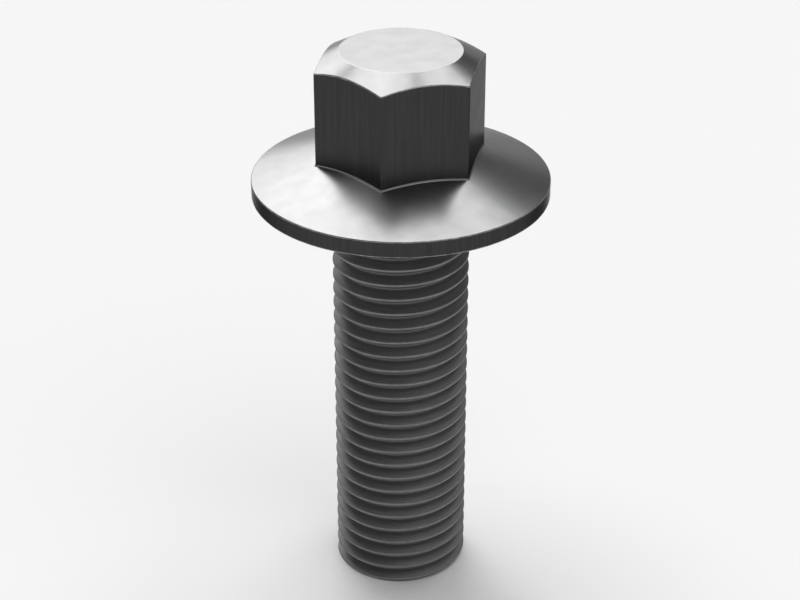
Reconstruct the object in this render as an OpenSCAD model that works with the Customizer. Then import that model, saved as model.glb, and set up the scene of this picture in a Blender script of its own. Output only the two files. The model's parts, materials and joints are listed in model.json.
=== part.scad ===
// Hexagon flange bolt, forged in one piece: a hexagon on a conical flange, over a straight
// shank that ends in a flat, with a right-hand thread rolled along it. It stands on that flat
// end, with its axis on Z and the origin at the middle of the end.

/* [Shank] */
// Diameter of the shank over the crests of its thread
shank_d = 16; // [10:0.5:17]
// Length from the bearing face to the flat end
shank_len = 50; // [20:1:70]
// Radius of the fillet between the shank and the bearing face
fillet_r = 0.8; // [0.2:0.1:2]

/* [Thread] */
// Distance from one crest of the thread to the next
pitch = 1.88; // [1.25:0.01:2.5]
// Angle between the two flanks of the groove, in degrees
flank_angle = 60; // [50:1:60]
// Turns that the groove takes to run out under the head
runout_turns = 0.75; // [0.25:0.25:2]
// Plain neck between the end of the thread and the fillet
neck_len = 0.7; // [0.2:0.1:10]

/* [Flange] */
// Diameter of the flange
flange_d = 34.3; // [26:0.1:44]
// Height of the flange's upright rim
rim_h = 1.95; // [1:0.05:4]
// Slope of the flange's upper side, in degrees
flange_slope = 19.4; // [5:0.1:28]

/* [Head] */
// Width of the hexagon across its flats
across_flats = 17.5; // [15:0.5:21]
// Height of the head from the bearing face to its flat top
head_h = 17.15; // [13:0.05:24]
// Diameter of the round flat on top
top_flat_d = 13.9; // [8:0.1:14.5]
// Slope of the chamfer that rounds off the hexagon's top corners, in degrees
chamfer_slope = 27.6; // [10:0.1:45]

/* [Hidden] */

// Facets of a full turn, where a preview needs them
$fn = 128;
// Straight steps in one turn of the thread
thread_steps = 36;
// How far the chamfer's cutting cone reaches past the hexagon's corners
cutter_margin = 1;

shank_r = shank_d / 2;
flange_r = flange_d / 2;
top_flat_r = top_flat_d / 2;
apothem = across_flats / 2;
corner_r = apothem / cos(30);

bearing_z = shank_len;
rim_top_z = bearing_z + rim_h;
head_top_z = bearing_z + head_h;
// The flange's cone goes on under the hexagon as far as a circle inside its flats
cone_top_r = apothem / 2;
cone_top_z = rim_top_z + (flange_r - cone_top_r) * tan(flange_slope);

// A standard thread leaves a flat crest of an eighth of the pitch and cuts 0.613 pitches deep
crest_flat = pitch / 8;
groove_depth = 0.613 * pitch;
// The groove's section stands a little out of the shank, less than would reach the next turn
groove_reach = pitch / 20;
half_crest_gap = (pitch - crest_flat) / 2;
half_mouth = half_crest_gap + groove_reach * tan(flank_angle / 2);
half_root = half_crest_gap - groove_depth * tan(flank_angle / 2);

// The groove begins one turn below the flat end, which its middle crosses on the +X side
groove_end_z = bearing_z - fillet_r - neck_len;
groove_turns = groove_end_z / pitch + 1;
groove_steps = ceil(groove_turns * thread_steps);
runout_h = runout_turns * pitch;

// Section of the groove, as radius and height about its middle
groove_section = [
    [shank_r - groove_depth, -half_root],
    [shank_r + groove_reach, -half_mouth],
    [shank_r + groove_reach, half_mouth],
    [shank_r - groove_depth, half_root],
];

// How far the section has moved out of the shank at a height, as the thread runs out
function groove_lift(z) =
    (groove_depth + groove_reach) * (1 - min(1, (groove_end_z - z) / runout_h));

// The section's four corners at a step of the helix
function groove_ring(step) =
    let (
        turn = groove_turns * step / groove_steps - 1,
        z = pitch * turn,
        lift = groove_lift(z)
    )
    [for (corner = groove_section)
        [
            (corner[0] + lift) * cos(360 * turn),
            (corner[0] + lift) * sin(360 * turn),
            z + corner[1],
        ]];

// Two triangles for each side of the section, from a step to the next one
function groove_side(step, side) =
    let (
        here = 4 * step + side,
        beside = 4 * step + (side + 1) % 4
    )
    [[here, beside, beside + 4], [here, beside + 4, here + 4]];

// The space between the crests, as one long helical wedge
module thread_groove() {
    points = [for (step = [0:groove_steps]) each groove_ring(step)];
    sides = [for (step = [0:groove_steps - 1]) for (side = [0:3]) each groove_side(step, side)];
    first_end = [3, 2, 1, 0];
    last_end = [for (corner = [0:3]) 4 * groove_steps + corner];
    polyhedron(points, [first_end, each sides, last_end]);
}

// Half section of the shank, from the flat end up into the flange
module shank_section() {
    square([shank_r, rim_top_z]);
}

// The corner between the shank and the bearing face, hollowed to a quarter circle
module fillet_section() {
    translate([shank_r, bearing_z - fillet_r])
        difference() {
            square(fillet_r);
            translate([fillet_r, 0]) circle(r = fillet_r);
        }
}

// Half section of the flange: flat bearing face, upright rim and sloped upper side
module flange_section() {
    polygon([
        [0, bearing_z],
        [flange_r, bearing_z],
        [flange_r, rim_top_z],
        [cone_top_r, cone_top_z],
        [0, cone_top_z],
    ]);
}

module turned_body() {
    rotate_extrude() {
        shank_section();
        fillet_section();
        flange_section();
    }
}

// The cone that cuts the hexagon's top corners, down to the round flat
module chamfer_cone() {
    cone_r = corner_r + cutter_margin;
    cone_foot_z = head_top_z - (cone_r - top_flat_r) * tan(chamfer_slope);
    rotate_extrude()
        polygon([
            [0, bearing_z],
            [cone_r, bearing_z],
            [cone_r, cone_foot_z],
            [top_flat_r, head_top_z],
            [0, head_top_z],
        ]);
}

// Hexagon from inside the flange to the flat top, two of its corners on the X axis
module hexagon() {
    intersection() {
        translate([0, 0, rim_top_z])
            cylinder(r = corner_r, h = head_h, $fn = 6);
        chamfer_cone();
    }
}

module flange_bolt() {
    color([0.27, 0.27, 0.28])
        difference() {
            union() {
                turned_body();
                hexagon();
            }
            thread_groove();
        }
}

flange_bolt();
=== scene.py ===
# %% [markdown]
# # A hexagon flange bolt, forged and threaded
#
# A flange bolt is one piece of steel. A press forges a hexagon and a wide cone, the flange, on
# the end of a rod, and two dies roll a thread along the rest of it. Nothing is added to it, so
# the scene holds one object, and its looks come from three things: crisp edges, a true helical
# thread and a dark oiled finish that mirrors the studio.

# %% Load the frame
import json
import math

import bmesh
import bpy
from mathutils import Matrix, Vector


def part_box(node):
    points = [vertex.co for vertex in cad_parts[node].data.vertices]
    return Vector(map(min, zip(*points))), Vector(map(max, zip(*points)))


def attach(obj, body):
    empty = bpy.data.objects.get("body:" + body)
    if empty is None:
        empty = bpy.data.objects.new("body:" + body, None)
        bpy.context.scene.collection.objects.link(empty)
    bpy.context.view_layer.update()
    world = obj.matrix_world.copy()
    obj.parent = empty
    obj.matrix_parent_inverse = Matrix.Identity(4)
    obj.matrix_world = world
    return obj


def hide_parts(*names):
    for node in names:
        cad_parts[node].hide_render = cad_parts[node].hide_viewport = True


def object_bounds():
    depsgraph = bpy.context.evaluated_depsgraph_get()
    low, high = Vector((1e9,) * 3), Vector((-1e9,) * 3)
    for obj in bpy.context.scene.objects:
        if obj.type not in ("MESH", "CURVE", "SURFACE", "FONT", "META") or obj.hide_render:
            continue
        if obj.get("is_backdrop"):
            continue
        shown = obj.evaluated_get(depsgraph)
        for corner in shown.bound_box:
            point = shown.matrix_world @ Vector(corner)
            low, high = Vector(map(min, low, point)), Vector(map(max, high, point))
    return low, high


MM = 0.001
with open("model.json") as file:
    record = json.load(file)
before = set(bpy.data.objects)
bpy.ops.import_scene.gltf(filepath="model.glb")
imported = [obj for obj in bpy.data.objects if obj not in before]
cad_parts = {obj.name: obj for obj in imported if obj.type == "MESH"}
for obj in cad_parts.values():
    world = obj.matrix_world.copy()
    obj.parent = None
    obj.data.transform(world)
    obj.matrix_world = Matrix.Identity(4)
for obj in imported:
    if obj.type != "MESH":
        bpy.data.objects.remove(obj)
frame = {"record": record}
cad_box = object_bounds()
_, node_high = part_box("flange_bolt")
print("CAD box in mm:", [[round(c / MM, 2) for c in corner] for corner in cad_box])

# %% [markdown]
# ## Sizes
#
# The frame fixes the big sizes: the height, the flange, the bearing face and the shank. They are
# read from it, so that the bolt can't drift from its solid. What the frame doesn't state is
# written once here, in millimetres, as it would stand on the bolt's drawing.

# %% Read and name the sizes
mounts = {mount["name"]: mount for mount in frame["record"]["mounts"]}

HEAD_TOP_Z = node_high.z
FLANGE_R = node_high.x
BEARING_Z = mounts["bearing_face"]["pos_m"][2]
SHANK_R = mounts["thread"]["dims"]["r_mm"] * MM

FILLET_R = 0.8 * MM
RIM_H = 1.95 * MM
FLANGE_SLOPE = math.radians(19.4)
APOTHEM = 17.5 / 2 * MM
TOP_FLAT_R = 13.9 / 2 * MM
CHAMFER_SLOPE = math.radians(27.6)
# Radius that breaks the outer edges, and the ones at the hexagon's corners and foot
EDGE_R = 0.15 * MM
CORNER_R = 0.25 * MM
FOOT_R = 0.2 * MM

PITCH = 1.88 * MM
# Lean of each flank of the groove: a metric thread's flanks meet at 60 degrees
FLANK_LEAN = math.radians(30)
# Plain neck between the end of the thread and the fillet under the head
NECK_LEN = 0.7 * MM
RUNOUT_TURNS = 0.75

RIM_TOP_Z = BEARING_Z + RIM_H
print("pitch", PITCH / MM, "mm, so", round(BEARING_Z / PITCH, 1), "pitches under the head")

# %% [markdown]
# ## Columns round the axis
#
# The whole bolt is one skin of quads, built column by column like the staves of a barrel. Each
# column is a section of the bolt at its own angle. The hexagon's six corners need columns close
# together, because a forged corner is a small round and not a razor edge, and a column on each
# side of it that holds the flat's shading flat.

# %% Angles of the columns
# A face of the hexagon takes a sixth of a turn
FACE_TURN = math.pi / 3
HALF_FACE = FACE_TURN / 2
# The round of a corner reaches this far to either side of it
CORNER_TURN = HALF_FACE - math.atan((APOTHEM - CORNER_R) * math.tan(HALF_FACE) / APOTHEM)
CORNER_STEPS = 3
# The column that holds a flat stands a little past the end of the corner's round
HOLD_TURN = 1.6 * CORNER_TURN
FLAT_COLUMNS = 20


def hexagon_r(angle):
    """Distance from the axis to the hexagon, which has round corners, two of them on the X axis."""
    from_corner = (angle + HALF_FACE) % FACE_TURN - HALF_FACE
    if abs(from_corner) >= CORNER_TURN:
        return APOTHEM / math.cos(HALF_FACE - abs(from_corner))
    round_centre = (APOTHEM - CORNER_R) / math.cos(HALF_FACE)
    sideways = round_centre * math.sin(from_corner)
    return round_centre * math.cos(from_corner) + math.sqrt(CORNER_R ** 2 - sideways ** 2)


def column_angles():
    """Angles of one face of the bolt, from its corner to just before the next, six times over."""
    face_turns = [CORNER_TURN * step / CORNER_STEPS for step in range(CORNER_STEPS + 1)]
    span = FACE_TURN - 2 * HOLD_TURN
    face_turns += [HOLD_TURN + span * step / FLAT_COLUMNS for step in range(FLAT_COLUMNS + 1)]
    for step in range(CORNER_STEPS, 0, -1):
        face_turns.append(FACE_TURN - CORNER_TURN * step / CORNER_STEPS)
    return [FACE_TURN * face + turn for face in range(6) for turn in face_turns]


angles = column_angles()
print(len(angles), "columns, corner to corner", round(2 * hexagon_r(0) / MM, 2), "mm")

# %% [markdown]
# ## A section of the head
#
# Cut at any angle, the head is the same outline: along the bearing face, up the rim, in along
# the flange, up the hexagon, along the chamfer and to the middle. Only the hexagon's distance
# changes with the angle, and the cones set its heights, which gives the curved foot and the
# arched chamfer by themselves. Each corner of the outline becomes a small arc, and a point just
# past each end of the arc keeps the face beside it flat.

# %% Round the corners of an outline
ARC_STEPS = 4
# How far past the end of an arc the holding point stands
HOLD = 0.04 * MM
# Exposure of a point, from worn on an edge to sheltered in a hollow
RUBBED = 1.0
OPEN = 0.0
SHELTERED = -1.0


def heading(start, end):
    """Angle of the line from one point of a section to another."""
    return math.atan2(end[1] - start[1], end[0] - start[0])


def step_off(point, angle, length):
    """The point at a length from another, along an angle in the section."""
    return (point[0] + length * math.cos(angle), point[1] + length * math.sin(angle))


def rounded_corner(before, corner, after, radius):
    """Points of the arc that rounds a corner, with a holding point on the face at either end.

    Each point is a distance from the axis, a height and an exposure.
    """
    into = heading(before, corner)
    out = heading(corner, after)
    turn = (out - into + math.pi) % math.tau - math.pi
    reach = radius * math.tan(abs(turn) / 2)
    start = step_off(corner, into, -reach)
    exposure = RUBBED if turn > 0 else SHELTERED
    arc = []
    for step in range(ARC_STEPS + 1):
        part = turn * step / ARC_STEPS
        chord = 2 * radius * math.sin(abs(part) / 2)
        arc.append((*step_off(start, into + part / 2, chord), exposure))
    first = (*step_off(start, into, -HOLD), OPEN)
    last = (*step_off(corner, out, reach + HOLD), OPEN)
    return [first, *arc, last]


rim_edge = rounded_corner((0, BEARING_Z), (FLANGE_R, BEARING_Z), (FLANGE_R, RIM_TOP_Z), EDGE_R)
print(len(rim_edge), "points round a corner, such as the flange's lower edge")

# %% The head's outline
def flange_z(radius):
    """Height of the flange's cone at a distance from the axis."""
    return RIM_TOP_Z + (FLANGE_R - radius) * math.tan(FLANGE_SLOPE)


def chamfer_z(radius):
    """Height of the chamfer's cone at a distance from the axis."""
    return HEAD_TOP_Z - (radius - TOP_FLAT_R) * math.tan(CHAMFER_SLOPE)


def head_section(angle):
    """Outline of the head at an angle, from the top of the shank to the flat top."""
    side = hexagon_r(angle)
    # Each corner with the radius that rounds it; the first and last only lead in and out
    corners = [
        ((SHANK_R, BEARING_Z - 2 * FILLET_R), 0),
        ((SHANK_R, BEARING_Z), FILLET_R),
        ((FLANGE_R, BEARING_Z), EDGE_R),
        ((FLANGE_R, RIM_TOP_Z), EDGE_R),
        ((side, flange_z(side)), FOOT_R),
        ((side, chamfer_z(side)), EDGE_R),
        ((TOP_FLAT_R, HEAD_TOP_Z), EDGE_R),
        ((0, HEAD_TOP_Z), 0),
    ]
    outline = []
    for (before, _), (corner, radius), (after, _) in zip(corners, corners[1:], corners[2:]):
        outline += rounded_corner(before, corner, after, radius)
    return outline


print(len(head_section(0)), "points in a section of the head")

# %% [markdown]
# ## The thread's profile
#
# A metric thread is a V-shaped groove between two flanks at 60 degrees. The rolling dies leave a
# flat crest an eighth of the pitch wide and press a round root, 0.613 pitches below the crest.
# These shares are in every drawing of the profile, so the pitch alone gives all its sizes.

# %% The groove's profile
THREAD_DEPTH = 0.613 * PITCH
CREST_FLAT = PITCH / 8
HALF_MOUTH = (PITCH - CREST_FLAT) / 2
ROOT_R = 0.1443 * PITCH
# The root's arc meets the flanks this far from the groove's middle, and this far above its foot
ARC_REACH = ROOT_R * math.cos(FLANK_LEAN)
ARC_RISE = ROOT_R * (1 - math.sin(FLANK_LEAN))


def wall_rise(away):
    """Height of the groove's wall above its lowest line, at a distance from its middle."""
    if away < ARC_REACH:
        return ROOT_R - math.sqrt(ROOT_R ** 2 - away ** 2)
    return ARC_RISE + (away - ARC_REACH) / math.tan(FLANK_LEAN)


def mouth_at(depth):
    """Half the width of the groove's mouth, where the groove is this deep."""
    if depth < ARC_RISE:
        return math.sqrt(2 * ROOT_R * depth - depth ** 2)
    return ARC_REACH + (depth - ARC_RISE) * math.tan(FLANK_LEAN)


print("groove", round(wall_rise(HALF_MOUTH) / MM, 2), "mm deep, root radius", round(ROOT_R / MM, 2))

# %% [markdown]
# ## One helix, and its run-out
#
# The groove's middle climbs one pitch as the angle goes once round, so the crests between its
# turns are one helix too. Anticlockwise and up, seen from above, makes it right-handed. Under the
# head the dies end: the groove rises out of the steel over three quarters of a turn.

# %% The groove at an angle
GROOVE_END_Z = BEARING_Z - FILLET_R - NECK_LEN
# The groove's section starts a little outside the crests, so its run-out starts there too
GROOVE_REACH = PITCH / 20


def groove_depth(middle_z):
    """Depth of the groove where its middle is at this height."""
    before_end = (GROOVE_END_Z - middle_z) / (RUNOUT_TURNS * PITCH)
    lift = (THREAD_DEPTH + GROOVE_REACH) * (1 - min(max(before_end, 0), 1))
    return max(THREAD_DEPTH - lift, 0)


def thread_radius(angle, height):
    """Distance from the axis to the threaded shank."""
    turn = round(height / PITCH - angle / math.tau)
    middle_z = PITCH * (turn + angle / math.tau)
    cut = groove_depth(middle_z) - wall_rise(abs(height - middle_z))
    return SHANK_R - max(cut, 0)


print("run-out ends", round((BEARING_Z - GROOVE_END_Z) / MM, 2), "mm below the bearing face")

# %% [markdown]
# ## A section of the shank
#
# Each groove gets the same row of points: close together round its root, where the surface
# curves, a pair that holds each flank straight, and a pair that breaks each crest's edge. A crest
# is rubbed less than an edge of the head, because only the nut's own thread touches it.

# %% The shank's outline
CREST_BREAK = 0.035 * MM
# Places of the root's points, and of the pair on each flank, as shares of half the groove's mouth
ROOT_STEPS = 3
ROOT_END = ARC_REACH / HALF_MOUTH
root_shares = [ROOT_END * step / ROOT_STEPS for step in range(-ROOT_STEPS, ROOT_STEPS + 1)]
FLANK_START = root_shares[-1] + 0.04
FLANK_END = 0.9
# Exposure of a crest
CREST_RUB = 0.88
# Turns past either end of the thread, whose points all fold onto that end
SPARE_TURNS = 2


def groove_heights(middle_z):
    """Heights of one groove's points, from the crest below it to the crest above."""
    mouth = mouth_at(groove_depth(middle_z))
    brink = min(CREST_BREAK, mouth * (1 - FLANK_END) / 2)
    low_side = [-mouth - brink, -mouth + brink, -mouth * FLANK_END, -mouth * FLANK_START]
    root = [mouth * share for share in root_shares]
    high_side = [-away for away in reversed(low_side)]
    return [middle_z + away for away in low_side + root + high_side]


def thread_exposure(radius, height):
    """Rubbed on a crest, open on the plain neck above the last one and sheltered at the root."""
    depth = (SHANK_R - radius) / THREAD_DEPTH
    outside = min(max((GROOVE_END_Z - height) / PITCH, OPEN), CREST_RUB)
    return outside - (outside - SHELTERED) * depth


def thread_section(angle, low, high):
    """Outline of the thread at an angle, from low to high; every angle gets the same count."""
    points = []
    for turn in range(-SPARE_TURNS, int((high - low) / PITCH) + SPARE_TURNS):
        for height in groove_heights(PITCH * (turn + angle / math.tau)):
            height = min(max(height, low), high)
            radius = thread_radius(angle, height)
            points.append((radius, height, thread_exposure(radius, height)))
    return points


def shank_section(angle):
    """The end's broken edge, then the thread up to the fillet under the head."""
    edge = (thread_radius(angle, 0) - CREST_BREAK, 0, RUBBED)
    return [edge, *thread_section(angle, CREST_BREAK, BEARING_Z - FILLET_R - HOLD)]


groove_points = len(groove_heights(0))
print(groove_points, "points in a groove,", len(shank_section(0)), "in a section of the shank")

# %% [markdown]
# ## Join the sections into one skin
#
# Quads join each section to the next. Round the seam, where the last column meets the first,
# the thread has climbed by one pitch, so there the quads join rows that lie one groove apart.
# Blender's screw modifier would wind the thread in one go, but without its run-out.

# %% Columns, and the quads between them
def add_column(mesh, angle, outline):
    """The points of a section, stood up at their angle, each with its exposure."""
    layer = mesh.verts.layers.float["exposure"]
    column = []
    for radius, height, exposure in outline:
        point = mesh.verts.new((radius * math.cos(angle), radius * math.sin(angle), height))
        point[layer] = exposure
        column.append(point)
    return column


def join_columns(mesh, column, following, ahead=0):
    """Quads between two columns, the second read from that many rows further on."""
    last = len(following) - 1
    for row in range(len(column) - 1):
        near = min(row + ahead, last)
        far = min(row + ahead + 1, last)
        corners = dict.fromkeys([column[row], following[near], following[far], column[row + 1]])
        if len(corners) > 2:
            mesh.faces.new(corners)


print(len(shank_section(0)) + len(head_section(0)), "points in each column of the bolt")

# %% Build the mesh
# Points nearer to each other than this, in metres, are welded into one
WELD_REACH = 1e-7


def build_bolt():
    """One closed mesh: the columns of the shank and of the head, the seams and two flat ends."""
    mesh = bmesh.new()
    mesh.verts.layers.float.new("exposure")
    shank = [add_column(mesh, angle, shank_section(angle)) for angle in angles]
    head = [add_column(mesh, angle, head_section(angle)) for angle in angles]
    for columns in (shank, head):
        for column, following in zip(columns, columns[1:]):
            join_columns(mesh, column, following)
    join_columns(mesh, shank[-1][:2], shank[0][:2])
    join_columns(mesh, shank[-1][1:], shank[0][1:], ahead=groove_points)
    join_columns(mesh, head[-1], head[0])
    end = mesh.faces.new([column[0] for column in shank])
    for edge in end.edges:
        edge.smooth = False
    mesh.faces.new([column[-1] for column in head])
    bmesh.ops.remove_doubles(mesh, verts=mesh.verts, dist=WELD_REACH)
    bmesh.ops.recalc_face_normals(mesh, faces=mesh.faces)
    return mesh


mesh = build_bolt()
open_edges = sum(len(edge.link_faces) != 2 for edge in mesh.edges)
triangles = sum(len(face.verts) - 2 for face in mesh.faces)
volume = round(mesh.calc_volume() / MM ** 3)
print(triangles, "triangles,", open_edges, "open edges,", volume, "mm3 of steel")

# %% Hand the mesh to an object
data = bpy.data.meshes.new("forged_bolt")
mesh.to_mesh(data)
mesh.free()
data.polygons.foreach_set("use_smooth", [True] * len(data.polygons))
bolt = bpy.data.objects.new("forged_bolt", data)
bpy.context.scene.collection.objects.link(bolt)
print(bolt.name, "has", len(data.vertices), "points and", len(data.polygons), "faces")

# %% [markdown]
# ## Dark oiled steel
#
# Black oxide is a thin dark layer that grows on the steel itself. The bolt stays a metal under it:
# no paint and no second colour, only a low reflectance. So the shader is fully metallic and the
# base colour is what it reflects. A layer of paint over a steel would look wrong here, because it
# would add a white highlight that this finish doesn't have. Edge light is held back too, as the
# oil does, by a specular tint well under 1.

# %% The steel's material
EDGE_TINT = (0.4, 0.4, 0.4, 1)

steel = bpy.data.materials.new("dark_steel")
steel.use_nodes = True
nodes = steel.node_tree.nodes
links = steel.node_tree.links
shader = nodes["Principled BSDF"]
shader.inputs["Metallic"].default_value = 1.0
shader.inputs["Specular Tint"].default_value = EDGE_TINT
coordinates = nodes.new("ShaderNodeTexCoord")
place = coordinates.outputs["Object"]
print(steel.name, "is a plain metal so far, with", len(nodes), "nodes")

# %% Sums on its values
# The Mix node has a row of sockets for each kind of value, and these are its rows of colour
MIX_PLAIN = 6
MIX_CHANGED = 7
MIX_RESULT = 2


def remap(value, low, high, to_low, to_high):
    """A value carried from one range to another, and held inside it."""
    node = nodes.new("ShaderNodeMapRange")
    ends = {"From Min": low, "From Max": high, "To Min": to_low, "To Max": to_high}
    for name, number in ends.items():
        node.inputs[name].default_value = number
    links.new(value, node.inputs["Value"])
    return node.outputs["Result"]


def combine(operation, first, second):
    """One sum, product or the like of two values; the second may be a plain number."""
    node = nodes.new("ShaderNodeMath")
    node.operation = operation
    links.new(first, node.inputs[0])
    if isinstance(second, float):
        node.inputs[1].default_value = second
    else:
        links.new(second, node.inputs[1])
    return node.outputs[0]


def blend(share, plain, changed):
    """A colour that goes from plain to changed as the share goes from 0 to 1."""
    node = nodes.new("ShaderNodeMix")
    node.data_type = "RGBA"
    for row, colour in ((MIX_PLAIN, plain), (MIX_CHANGED, changed)):
        if isinstance(colour, tuple):
            node.inputs[row].default_value = (*colour, 1)
        else:
            links.new(colour, node.inputs[row])
    links.new(share, node.inputs["Factor"])
    return node.outputs[MIX_RESULT]


print("values can now be remapped, combined and blended into colours")

# %% [markdown]
# ## Where each tool has touched the steel
#
# Three tools leave three surfaces. The press leaves the top, the chamfer and the cone satin. The
# trimming die then shears the flats and the rim, and these upright faces are given a far darker
# colour: painted shade, standing in for the darker reflections of upright metal.
# The rolling dies leave the thread dull. The nodes find these zones from the bolt itself: its
# height, how upright a face stands, and the exposure that the mesh carries at each point. An image
# mask would do the same job, but would need an unwrapped mesh.

# %% The zones
# How far a face may look up and still get the upright faces' painted shade: 0 is upright, and the
# chamfer is at 0.89
UPRIGHT_UP_TO = 0.5
TILTED_FROM = 0.85


def on_thread():
    """1 on the threaded shank and 0 on the head, by the height in the bolt's own frame."""
    height = nodes.new("ShaderNodeSeparateXYZ")
    links.new(place, height.inputs[0])
    return remap(height.outputs["Z"], BEARING_Z - FILLET_R, BEARING_Z - 2 * FILLET_R, 0, 1)


def on_upright_faces():
    """1 where the steel stands upright, as the sheared flats and the rim do, and 0 elsewhere; it
    places their painted shade and their draw marks.
    """
    facing = nodes.new("ShaderNodeSeparateXYZ")
    links.new(coordinates.outputs["Normal"], facing.inputs[0])
    tilt = combine("ABSOLUTE", facing.outputs["Z"], 0.0)
    return remap(tilt, UPRIGHT_UP_TO, TILTED_FROM, 1, 0)


def read_exposure():
    """The exposure that the mesh carries, from -1 at a root to 1 on an edge."""
    attribute = nodes.new("ShaderNodeAttribute")
    attribute.attribute_name = "exposure"
    return attribute.outputs["Fac"]


rolled = on_thread()
# The upright faces' mask carries their painted shade and their draw marks
trim_marks_and_painted_shade = on_upright_faces()
exposure = read_exposure()
print("rolled up to", round((BEARING_Z - FILLET_R) / MM, 1), "mm above the end")
print("trimmed where steeper than", round(math.degrees(math.acos(UPRIGHT_UP_TO))), "degrees")

# %% [markdown]
# ## Patterns
#
# Each pattern is noise at the size of a real trace. Clouds of 2.5 mm are the oil film. Marks of
# 0.3 mm, drawn out upright, are what the trimming die scratches down the flats. Lines of 0.15 mm
# round the axis are what the rolling dies burnish along the thread. Spots of 0.6 mm break up the
# rubbed edges, and a grain of 0.25 mm keeps the satin from looking like glass.

# %% The patterns
CLOUD_SIZE = 2.5 * MM
SCUFF_SIZE = 0.6 * MM
GRAIN_SIZE = 0.25 * MM
MARK_WIDTH = 0.3 * MM
MARK_LENGTH = 9 * MM
LINE_WIDTH = 0.15 * MM


def noise(where, size, detail):
    """Soft noise whose patches are about this size."""
    node = nodes.new("ShaderNodeTexNoise")
    node.inputs["Scale"].default_value = 1 / size
    node.inputs["Detail"].default_value = detail
    links.new(where, node.inputs["Vector"])
    return node.outputs["Fac"]


def squeeze_height(times):
    """The place with its height squeezed, so that noise over it comes out drawn upright."""
    node = nodes.new("ShaderNodeMapping")
    node.inputs["Scale"].default_value = (1, 1, 1 / times)
    links.new(place, node.inputs["Vector"])
    return node.outputs["Vector"]


def round_the_axis():
    """The distance from the axis and the height, so that noise over them comes out as rings."""
    apart = nodes.new("ShaderNodeSeparateXYZ")
    links.new(place, apart.inputs[0])
    squares = [combine("MULTIPLY", apart.outputs[side], apart.outputs[side]) for side in ("X", "Y")]
    rings = nodes.new("ShaderNodeCombineXYZ")
    links.new(combine("POWER", combine("ADD", *squares), 0.5), rings.inputs["X"])
    links.new(apart.outputs["Z"], rings.inputs["Z"])
    return rings.outputs[0]


oil_clouds = noise(place, CLOUD_SIZE, detail=4)
scuffs = noise(place, SCUFF_SIZE, detail=3)
grain = noise(place, GRAIN_SIZE, detail=2)
draw_marks = noise(squeeze_height(MARK_LENGTH / MARK_WIDTH), MARK_WIDTH, detail=1)
rolling_lines = noise(round_the_axis(), LINE_WIDTH, detail=1)
print("patterns from", GRAIN_SIZE / MM, "to", MARK_LENGTH / MM, "mm")

# %% [markdown]
# ## Colour
#
# The colours are laid over each other in this order: pressed, then the painted shade of the upright
# flats and rim, rolled, oiled where nothing rubs, and at last rubbed bright on its edges and
# crests.

# %% Lay the colours
PRESSED_OXIDE = (0.29, 0.29, 0.293)
CLOUDED_OXIDE = (0.273, 0.273, 0.276)
# Painted shade: the upright flats and rim are coloured far darker than the pressed faces, standing
# in for darker reflections; the second colour is the one along the draw marks
PAINTED_SHADE_OXIDE = (0.04, 0.04, 0.041)
PAINTED_SHADE_MARKS_OXIDE = (0.047, 0.047, 0.048)
ROLLED_OXIDE = (0.175, 0.175, 0.178)
BURNISHED_OXIDE = (0.225, 0.225, 0.228)
OILED_OXIDE = (0.17, 0.17, 0.172)
RUBBED_STEEL = (0.33, 0.33, 0.333)
# Exposures at which the oil begins and is full, and at which the rubbing begins
OIL_BEGINS = -0.1
OIL_IS_FULL = -0.9
RUB_BEGINS = 0.75
# Noise seldom leaves the range between these two, so the patterns are stretched over it
NOISE_LOW = 0.35
NOISE_HIGH = 0.65
LEAST_RUB = 0.35


def spread(pattern, least=0):
    """A noise pattern stretched until it goes from the least to 1."""
    return remap(pattern, NOISE_LOW, NOISE_HIGH, least, 1)


oiled = remap(exposure, OIL_BEGINS, OIL_IS_FULL, 0, 1)
rubbed = combine("MULTIPLY", remap(exposure, RUB_BEGINS, RUBBED, 0, 1), spread(scuffs, LEAST_RUB))

pressed_colour = blend(spread(oil_clouds), PRESSED_OXIDE, CLOUDED_OXIDE)
painted_shade_and_marks_colour = blend(spread(draw_marks), PAINTED_SHADE_OXIDE, PAINTED_SHADE_MARKS_OXIDE)
rolled_colour = blend(spread(rolling_lines), ROLLED_OXIDE, BURNISHED_OXIDE)
# Here the upright faces take their painted shade
colour = blend(trim_marks_and_painted_shade, pressed_colour, painted_shade_and_marks_colour)
colour = blend(rolled, colour, rolled_colour)
colour = blend(oiled, colour, OILED_OXIDE)
colour = blend(rubbed, colour, RUBBED_STEEL)
links.new(colour, shader.inputs["Base Color"])
print("reflects", PAINTED_SHADE_OXIDE[0], "of the light on flats and", RUBBED_STEEL[0], "on edges")

# %% [markdown]
# ## Sheen and relief
#
# The head mirrors softly, with a roughness of a quarter. The thread is more than twice as rough,
# so its steep flanks show as even dark grey and not as a row of sharp reflections. The oil's clouds
# change the sheen a little, but nowhere on the head do they pass 0.27. Just above, Cycles changes
# what it tells its denoiser, and a surface that wavers across it shows small curls. The relief is
# a micrometre deep, as real draw marks are: enough to trouble a reflection, but not to see as a
# shape.

# %% Set the sheen and the relief
HEAD_ROUGHNESS = 0.25
THREAD_ROUGHNESS = 0.6
CLOUD_CHANGE = 0.02
CLOUD_LOW = 0.3
CLOUD_HIGH = 0.7
GRAIN_DEPTH = 0.0012 * MM
MARK_DEPTH = 0.001 * MM

smoothest = HEAD_ROUGHNESS - CLOUD_CHANGE
roughest = HEAD_ROUGHNESS + CLOUD_CHANGE
head_sheen = remap(oil_clouds, CLOUD_LOW, CLOUD_HIGH, smoothest, roughest)
added_on_thread = combine("MULTIPLY", rolled, THREAD_ROUGHNESS - HEAD_ROUGHNESS)
links.new(combine("ADD", head_sheen, added_on_thread), shader.inputs["Roughness"])

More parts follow.
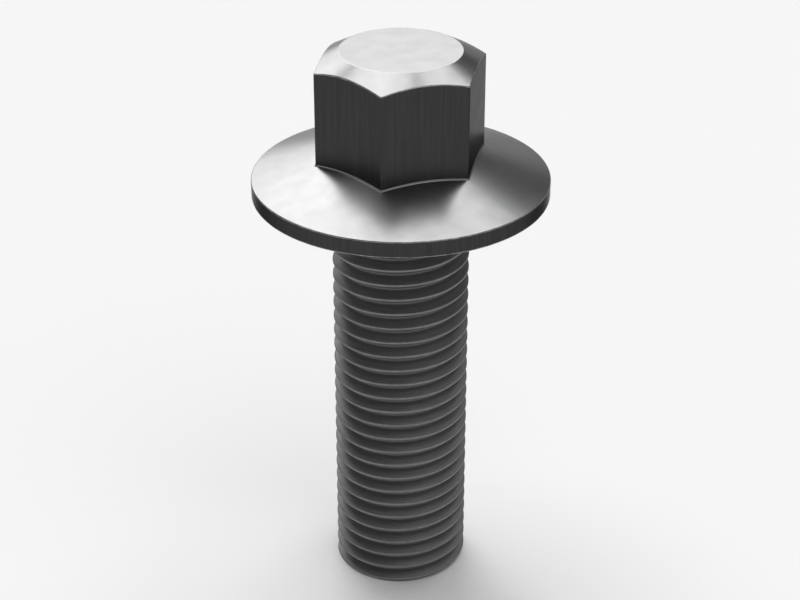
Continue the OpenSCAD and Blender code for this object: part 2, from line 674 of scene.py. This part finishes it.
grain_relief = combine("MULTIPLY", grain, GRAIN_DEPTH)
mark_relief = combine("MULTIPLY", combine("MULTIPLY", draw_marks, trim_marks_and_painted_shade), MARK_DEPTH)
bump = nodes.new("ShaderNodeBump")
# The relief is in metres already, so it isn't scaled again
bump.inputs["Distance"].default_value = 1.0
links.new(combine("ADD", grain_relief, mark_relief), bump.inputs["Height"])
links.new(bump.outputs["Normal"], shader.inputs["Normal"])
print(len(nodes), "nodes in the finish")

# %% [markdown]
# ## Join the bolt to the frame
#
# The bolt is one solid on one body, so this skin replaces that solid and rides on its body. The
# solid could have stayed and only taken the finish, but its edges are as sharp as a drawing's, and
# an edge without any round on it catches no light.

# %% Replace the solid
bolt.data.materials.append(steel)
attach(bolt, "root")
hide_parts("flange_bolt")
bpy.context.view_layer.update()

# %% [markdown]
# ## A pale floor in a pale room
#
# A dark metal looks like whatever it mirrors, so the room matters as much as the steel. The floor
# is matt and pale. The room is a glow with no walls in it: as pale as the floor up to 9 degrees
# above the horizon, where the two have to meet, and dark from 20 degrees up. That dark is what the
# right side of the flange and of the chamfer mirror, between the bright softboxes.

# %% Floor
FLOOR_SIZE = 24.0
FLOOR_COLOUR = (0.81, 0.81, 0.81, 1)

half = FLOOR_SIZE / 2
floor_data = bpy.data.meshes.new("floor")
floor_corners = [(-half, -half, 0), (half, -half, 0), (half, half, 0), (-half, half, 0)]
floor_data.from_pydata(floor_corners, [], [(0, 1, 2, 3)])
floor = bpy.data.objects.new("floor", floor_data)
bpy.context.scene.collection.objects.link(floor)

paper = bpy.data.materials.new("floor_paper")
paper.use_nodes = True
matt = paper.node_tree.nodes["Principled BSDF"]
matt.inputs["Base Color"].default_value = FLOOR_COLOUR
matt.inputs["Roughness"].default_value = 1.0
matt.inputs["Specular IOR Level"].default_value = 0.0
floor.data.materials.append(paper)
floor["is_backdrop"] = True
print("floor", FLOOR_SIZE, "m wide")

# %% Room
WALL_GLOW = 0.93
CEILING_GLOW = 0.15
WALL_TOP = math.sin(math.radians(9))
CEILING_FOOT = math.sin(math.radians(20))

room = bpy.data.worlds.new("studio_room")
bpy.context.scene.world = room
room.use_nodes = True
room_nodes = room.node_tree.nodes
room_links = room.node_tree.links
backdrop = room_nodes["Background"]
backdrop.inputs["Color"].default_value = (1, 1, 1, 1)

towards = room_nodes.new("ShaderNodeTexCoord").outputs["Generated"]
upward = room_nodes.new("ShaderNodeSeparateXYZ")
glow = room_nodes.new("ShaderNodeMapRange")
glow.interpolation_type = "SMOOTHSTEP"
glow.inputs["From Min"].default_value = WALL_TOP
glow.inputs["From Max"].default_value = CEILING_FOOT
glow.inputs["To Min"].default_value = WALL_GLOW
glow.inputs["To Max"].default_value = CEILING_GLOW
room_links.new(towards, upward.inputs[0])
room_links.new(upward.outputs["Z"], glow.inputs["Value"])
room_links.new(glow.outputs[0], backdrop.inputs["Strength"])
print("room glows", WALL_GLOW, "at the horizon and", CEILING_GLOW, "overhead")

# %% [markdown]
# ## Camera
#
# The camera looks down at the bolt from a little to the right of one of the hexagon's corners, so
# that this corner shows just left of the middle. Its angle, distance and lens were fitted until the
# flange's ellipse, the hexagon's corners and the shank's end fell where the picture shows them. A
# long lens from 0.2 m is what keeps the shank's sides nearly parallel.

# %% Camera
CAMERA_SIDE = math.radians(-17.73)
CAMERA_RISE = math.radians(28.714)
CAMERA_DISTANCE = 219.3 * MM
CAMERA_LENS = 83.06
AIM_Z = 35.58 * MM
AIM_OFFSET = -0.097 * MM
NEAREST_SEEN = 10 * MM


def direction(side, rise):
    """Unit vector towards a side angle from -Y, and a rise above the floor."""
    flat = math.cos(rise)
    return Vector((math.sin(side) * flat, -math.cos(side) * flat, math.sin(rise)))


def look_along(thing, way):
    """Turn a camera or lamp, which look down their own -Z, to look this way."""
    thing.rotation_euler = way.to_track_quat("-Z", "Y").to_euler()


camera_data = bpy.data.cameras.new("camera")
camera_data.lens = CAMERA_LENS
camera_data.clip_start = NEAREST_SEEN
camera = bpy.data.objects.new("camera", camera_data)
bpy.context.scene.collection.objects.link(camera)
to_the_right = direction(CAMERA_SIDE + math.pi / 2, 0)
aim = Vector((0, 0, AIM_Z)) + to_the_right * AIM_OFFSET
camera.location = aim + direction(CAMERA_SIDE, CAMERA_RISE) * CAMERA_DISTANCE
look_along(camera, aim - camera.location)
bpy.context.scene.camera = camera
print("camera at", [round(c, 3) for c in camera.location], "m")

# %% [markdown]
# ## Softboxes
#
# A metal needs large lamps, because it shows them. Area lamps close by would do, but they light
# the floor unevenly, which spoils every view but one. A sun lamp that is tens of degrees wide is a
# round softbox infinitely far away: the floor gets the same light everywhere. Its energy follows
# from the brightness that its disc should show, times pi, times the squared sine of half its
# width. Side angles count from the camera, so 180 is behind the bolt. The first two light the top,
# the chamfer and the cone, the third draws the bright wedge on the right, and the fourth lifts
# the thread a little.

# %% Softboxes
def softbox(name, side, rise, width, brightness):
    """A round softbox, at a side angle from the camera, with its rise and width in degrees."""
    data = bpy.data.lights.new(name, "SUN")
    data.angle = math.radians(width)
    data.energy = brightness * math.pi * math.sin(data.angle / 2) ** 2
    lamp = bpy.data.objects.new(name, data)
    lamp.visible_camera = False
    bpy.context.scene.collection.objects.link(lamp)
    outward = direction(CAMERA_SIDE + math.radians(side), math.radians(rise))
    look_along(lamp, -outward)
    return data.energy * outward.z / math.pi


floor_light = sum([
    softbox("back_softbox", side=-166, rise=28, width=48, brightness=3.65),
    softbox("high_softbox", side=-145, rise=68, width=40, brightness=3.0),
    softbox("right_softbox", side=138, rise=57, width=30, brightness=2.65),
    softbox("front_softbox", side=40, rise=60, width=50, brightness=1.2),
])
print("the softboxes alone show a white floor at", round(floor_light, 2))

# %% [markdown]
# ## Measure
#
# The box of the finished skin is set beside the CAD's own box, and how far apart their highest
# corners lie is printed. The Standard view shows each colour as it is written, where Blender's
# default would soften it.

# %% Measure and finish
bpy.context.scene.view_settings.view_transform = "Standard"
visual_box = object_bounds()
apart = [round((ours - theirs) / MM, 3) for ours, theirs in zip(visual_box[1], cad_box[1])]
print("the skin's highest corner lies", apart, "mm from the CAD's")
